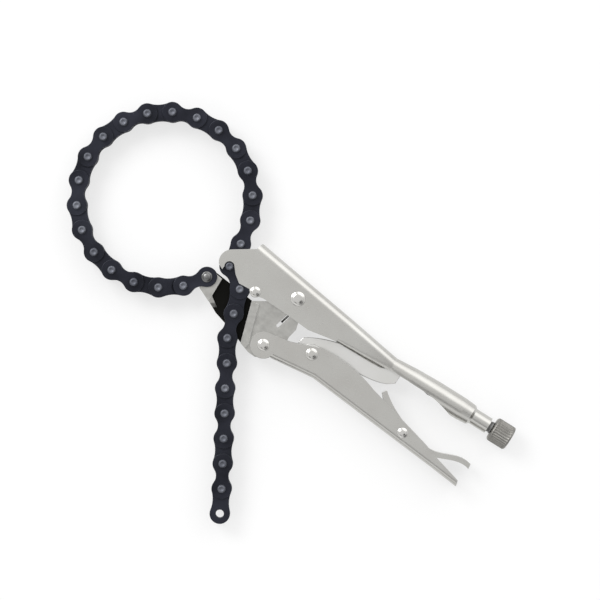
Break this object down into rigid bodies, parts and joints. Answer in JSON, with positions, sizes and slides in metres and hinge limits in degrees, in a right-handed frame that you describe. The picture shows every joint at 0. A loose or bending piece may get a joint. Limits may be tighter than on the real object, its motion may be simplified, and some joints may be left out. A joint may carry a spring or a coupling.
{
  "type": "locking chain clamp",
  "caption": "Locking plier clamp whose roller chain wraps a pipe or odd shape, hooks into the nose and is drawn tight by toggle handles.",
  "frame": {"origin": "axis of the held pipe, midway through the chain's thickness", "axes": "+Z along all hinge pins, up when the clamp lies flat; +X from the chain loop towards the adjusting knob; +Y from the loose chain's end towards the loop"},
  "size_m": [0.2839, 0.2665, 0.0206],
  "materials": {
    "plated_steel": "satin nickel plating",
    "rivet_steel": "bright, lightly turned",
    "chain_steel": "oiled blue-black",
    "screw_steel": "dull threaded steel",
    "knob_steel": "dull knurled steel",
    "spring_steel": "spring wire"
  },
  "bodies": {
    "upper_body": {"upper_body": "plated_steel", "jaw_pivot_rivet": "rivet_steel", "nose_cross_rivet": "rivet_steel", "jaw_spring": "spring_steel"},
    "lower_jaw": {"lower_jaw": "plated_steel", "chain_anchor_rivet": "rivet_steel"},
    "lower_handle": {"lower_handle": "plated_steel", "handle_pivot_rivet": "rivet_steel", "toggle_pivot_rivet": "rivet_steel", "release_lever_rivet": "rivet_steel"},
    "toggle_link": {"toggle_link": "plated_steel"},
    "release_lever": {"release_lever": "plated_steel"},
    "adjusting_screw": {"adjusting_screw": "screw_steel"},
    "adjusting_knob": {"adjusting_knob": "knob_steel"},
    "chain_link_01": {"chain_link_01": "chain_steel"},
    "chain_link_02": {"chain_link_02": "chain_steel"},
    "chain_link_03": {"chain_link_03": "chain_steel"},
    "chain_link_04": {"chain_link_04": "chain_steel"},
    "chain_link_05": {"chain_link_05": "chain_steel"},
    "chain_link_06": {"chain_link_06": "chain_steel"},
    "chain_link_07": {"chain_link_07": "chain_steel"},
    "chain_link_08": {"chain_link_08": "chain_steel"},
    "chain_link_09": {"chain_link_09": "chain_steel"},
    "chain_link_10": {"chain_link_10": "chain_steel"},
    "chain_link_11": {"chain_link_11": "chain_steel"},
    "chain_link_12": {"chain_link_12": "chain_steel"},
    "chain_link_13": {"chain_link_13": "chain_steel"},
    "chain_link_14": {"chain_link_14": "chain_steel"},
    "chain_link_15": {"chain_link_15": "chain_steel"},
    "chain_link_16": {"chain_link_16": "chain_steel"},
    "chain_link_17": {"chain_link_17": "chain_steel"},
    "chain_link_18": {"chain_link_18": "chain_steel"},
    "chain_link_19": {"chain_link_19": "chain_steel"},
    "chain_link_20": {"chain_link_20": "chain_steel"},
    "chain_link_21": {"chain_link_21": "chain_steel"},
    "chain_link_22": {"chain_link_22": "chain_steel"},
    "chain_link_23": {"chain_link_23": "chain_steel"},
    "chain_link_24": {"chain_link_24": "chain_steel"},
    "chain_link_25": {"chain_link_25": "chain_steel"},
    "chain_link_26": {"chain_link_26": "chain_steel"},
    "chain_link_27": {"chain_link_27": "chain_steel"},
    "chain_link_28": {"chain_link_28": "chain_steel"},
    "chain_link_29": {"chain_link_29": "chain_steel"},
    "chain_link_30": {"chain_link_30": "chain_steel"},
    "chain_link_31": {"chain_link_31": "chain_steel"}
  },
  "joints": [
    {"name": "jaw_swing", "type": "hinge", "parent": "upper_body", "child": "lower_jaw", "pos_m": [0.08412, -0.06264, 0], "axis": [0, 0, 1], "range_deg": [0, 6.36], "deforming": ["jaw_spring"]},
    {"name": "handle_swing", "type": "hinge", "parent": "lower_jaw", "child": "lower_handle", "pos_m": [0.06232, -0.09164, 0], "axis": [0, 0, 1], "range_deg": [-28, 0]},
    {"name": "toggle_fold", "type": "hinge", "parent": "lower_handle", "child": "toggle_link", "pos_m": [0.09282, -0.09744, 0], "axis": [0, 0, 1], "range_deg": [0, 34.85]},
    {"name": "release_press", "type": "hinge", "parent": "lower_handle", "child": "release_lever", "pos_m": [0.15002, -0.14704, 0], "axis": [0, 0, 1], "range_deg": [-8, 0]},
    {"name": "screw_travel", "type": "slide", "parent": "upper_body", "child": "adjusting_screw", "axis": [0.848, -0.5299, 0], "range_m": [0, 0.00375]},
    {"name": "knob_turn", "type": "hinge", "parent": "adjusting_screw", "child": "adjusting_knob", "pos_m": [0.21215, -0.14761, 0], "axis": [0.848, -0.5299, 0], "range_deg": [0, 1080.5]},
    {"name": "chain_pin_01", "type": "hinge", "parent": "lower_jaw", "child": "chain_link_01", "pos_m": [0.02666, -0.0487, 0], "axis": [0, 0, 1], "range_deg": [-1.8, 0]},
    {"name": "chain_pin_02", "type": "hinge", "parent": "chain_link_01", "child": "chain_link_02", "pos_m": [0.01179, -0.05425, 0], "axis": [0, 0, 1], "range_deg": [-1.54, 0]},
    {"name": "chain_pin_03", "type": "hinge", "parent": "chain_link_02", "child": "chain_link_03", "pos_m": [-0.00405, -0.05537, 0], "axis": [0, 0, 1], "range_deg": [-1.21, 0]},
    {"name": "chain_pin_04", "type": "hinge", "parent": "chain_link_03", "child": "chain_link_04", "pos_m": [-0.01955, -0.05196, 0], "axis": [0, 0, 1], "range_deg": [-0.8077, 0]},
    {"name": "chain_pin_05", "type": "hinge", "parent": "chain_link_04", "child": "chain_link_05", "pos_m": [-0.03346, -0.0443, 0], "axis": [0, 0, 1], "range_deg": [-0.3555, 0]},
    {"name": "chain_pin_06", "type": "hinge", "parent": "chain_link_05", "child": "chain_link_06", "pos_m": [-0.04463, -0.03302, 0], "axis": [0, 0, 1], "range_deg": [-0.2923, 0]},
    {"name": "chain_pin_07", "type": "hinge", "parent": "chain_link_06", "child": "chain_link_07", "pos_m": [-0.05215, -0.01904, 0], "axis": [0, 0, 1], "range_deg": [0, 0.7837]},
    {"name": "chain_pin_08", "type": "hinge", "parent": "chain_link_07", "child": "chain_link_08", "pos_m": [-0.05541, -0.00351, 0], "axis": [0, 0, 1], "range_deg": [0, 0.8509]},
    {"name": "chain_pin_09", "type": "hinge", "parent": "chain_link_08", "child": "chain_link_09", "pos_m": [-0.05413, 0.01232, 0], "axis": [0, 0, 1], "range_deg": [0, 0.9938]},
    {"name": "chain_pin_10", "type": "hinge", "parent": "chain_link_09", "child": "chain_link_10", "pos_m": [-0.04843, 0.02714, 0], "axis": [0, 0, 1], "range_deg": [0, 0.9857]},
    {"name": "hook_pin", "type": "hinge", "parent": "upper_body", "child": "chain_link_21", "pos_m": [0.04092, -0.04204, 0], "axis": [0, 0, 1], "range_deg": [0, 0.58]},
    {"name": "chain_pin_21", "type": "hinge", "parent": "chain_link_21", "child": "chain_link_20", "pos_m": [0.04803, -0.02784, 0], "axis": [0, 0, 1], "range_deg": [0, 1.11]},
    {"name": "chain_pin_20", "type": "hinge", "parent": "chain_link_20", "child": "chain_link_19", "pos_m": [0.05395, -0.01311, 0], "axis": [0, 0, 1], "range_deg": [0, 1.07]},
    {"name": "chain_pin_19", "type": "hinge", "parent": "chain_link_19", "child": "chain_link_18", "pos_m": [0.05545, 0.00269, 0], "axis": [0, 0, 1], "range_deg": [0, 0.9639]},
    {"name": "chain_pin_18", "type": "hinge", "parent": "chain_link_18", "child": "chain_link_17", "pos_m": [0.05242, 0.01828, 0], "axis": [0, 0, 1], "range_deg": [0, 0.816]},
    {"name": "chain_pin_17", "type": "hinge", "parent": "chain_link_17", "child": "chain_link_16", "pos_m": [0.04511, 0.03236, 0], "axis": [0, 0, 1], "range_deg": [0, 0.6375]},
    {"name": "chain_pin_16", "type": "hinge", "parent": "chain_link_16", "child": "chain_link_15", "pos_m": [0.0341, 0.04381, 0], "axis": [0, 0, 1], "range_deg": [0, 0.4315]},
    {"name": "chain_pin_15", "type": "hinge", "parent": "chain_link_15", "child": "chain_link_14", "pos_m": [0.02031, 0.05167, 0], "axis": [0, 0, 1], "range_deg": [0, 0.1977]},
    {"name": "chain_pin_14", "type": "hinge", "parent": "chain_link_14", "child": "chain_link_13", "pos_m": [0.00486, 0.0553, 0], "axis": [0, 0, 1], "range_deg": [0, 0.3305]},
    {"name": "chain_pin_13", "type": "hinge", "parent": "chain_link_13", "child": "chain_link_12", "pos_m": [-0.01099, 0.05442, 0], "axis": [0, 0, 1], "range_deg": [-0.5352, 0]},
    {"name": "chain_pin_12", "type": "hinge", "parent": "chain_link_12", "child": "chain_link_11", "pos_m": [-0.02594, 0.04908, 0], "axis": [0, 0, 1], "range_deg": [-0.6303, 0]},
    {"name": "chain_pin_22", "type": "hinge", "parent": "chain_link_21", "child": "chain_link_22", "pos_m": [0.04092, -0.04204, 0], "axis": [0, 0, 1], "range_deg": [-2, 0.5]},
    {"name": "chain_pin_23", "type": "hinge", "parent": "chain_link_22", "child": "chain_link_23", "pos_m": [0.04743, -0.05652, 0], "axis": [0, 0, 1], "range_deg": [-3, 0.5]},
    {"name": "chain_pin_24", "type": "hinge", "parent": "chain_link_23", "child": "chain_link_24", "pos_m": [0.04359, -0.07192, 0], "axis": [0, 0, 1], "range_deg": [-3, 1]},
    {"name": "chain_pin_25", "type": "hinge", "parent": "chain_link_24", "child": "chain_link_25", "pos_m": [0.03956, -0.08728, 0], "axis": [0, 0, 1], "range_deg": [-20, 5]},
    {"name": "chain_pin_26", "type": "hinge", "parent": "chain_link_25", "child": "chain_link_26", "pos_m": [0.0392, -0.10315, 0], "axis": [0, 0, 1], "range_deg": [-20, 10]},
    {"name": "chain_pin_27", "type": "hinge", "parent": "chain_link_26", "child": "chain_link_27", "pos_m": [0.03812, -0.11898, 0], "axis": [0, 0, 1], "range_deg": [-20, 10]},
    {"name": "chain_pin_28", "type": "hinge", "parent": "chain_link_27", "child": "chain_link_28", "pos_m": [0.03776, -0.13486, 0], "axis": [0, 0, 1], "range_deg": [-20, 10]},
    {"name": "chain_pin_29", "type": "hinge", "parent": "chain_link_28", "child": "chain_link_29", "pos_m": [0.03721, -0.15072, 0], "axis": [0, 0, 1], "range_deg": [-20, 10]},
    {"name": "chain_pin_30", "type": "hinge", "parent": "chain_link_29", "child": "chain_link_30", "pos_m": [0.0366, -0.16658, 0], "axis": [0, 0, 1], "range_deg": [-20, 10]},
    {"name": "chain_pin_31", "type": "hinge", "parent": "chain_link_30", "child": "chain_link_31", "pos_m": [0.0359, -0.18244, 0], "axis": [0, 0, 1], "range_deg": [-20, 10]}
  ],
  "couplings": [
    {"joint": "jaw_swing", "follows": "handle_swing", "ratio": -0.22657},
    {"joint": "toggle_fold", "follows": "handle_swing", "ratio": -1.2441},
    {"joint": "knob_turn", "follows": "screw_travel", "rad_per_m": 5026.5},
    {"joint": "chain_pin_01", "follows": "handle_swing", "ratio": 0.063576},
    {"joint": "chain_pin_02", "follows": "handle_swing", "ratio": 0.054115},
    {"joint": "chain_pin_03", "follows": "handle_swing", "ratio": 0.04243},
    {"joint": "chain_pin_04", "follows": "handle_swing", "ratio": 0.028133},
    {"joint": "chain_pin_05", "follows": "handle_swing", "ratio": 0.011982},
    {"joint": "chain_pin_06", "follows": "handle_swing", "ratio": 0.009726},
    {"joint": "chain_pin_07", "follows": "handle_swing", "ratio": -0.027274},
    {"joint": "chain_pin_08", "follows": "handle_swing", "ratio": -0.029674},
    {"joint": "chain_pin_09", "follows": "handle_swing", "ratio": -0.034777},
    {"joint": "chain_pin_10", "follows": "handle_swing", "ratio": -0.03449},
    {"joint": "hook_pin", "follows": "handle_swing", "ratio": -0.02},
    {"joint": "chain_pin_21", "follows": "handle_swing", "ratio": -0.038909},
    {"joint": "chain_pin_20", "follows": "handle_swing", "ratio": -0.037474},
    {"joint": "chain_pin_19", "follows": "handle_swing", "ratio": -0.033711},
    {"joint": "chain_pin_18", "follows": "handle_swing", "ratio": -0.028429},
    {"joint": "chain_pin_17", "follows": "handle_swing", "ratio": -0.022052},
    {"joint": "chain_pin_16", "follows": "handle_swing", "ratio": -0.014695},
    {"joint": "chain_pin_15", "follows": "handle_swing", "ratio": -0.006346},
    {"joint": "chain_pin_14", "follows": "handle_swing", "ratio": -0.011089},
    {"joint": "chain_pin_13", "follows": "handle_swing", "ratio": 0.018401},
    {"joint": "chain_pin_12", "follows": "handle_swing", "ratio": 0.021796}
  ]
}
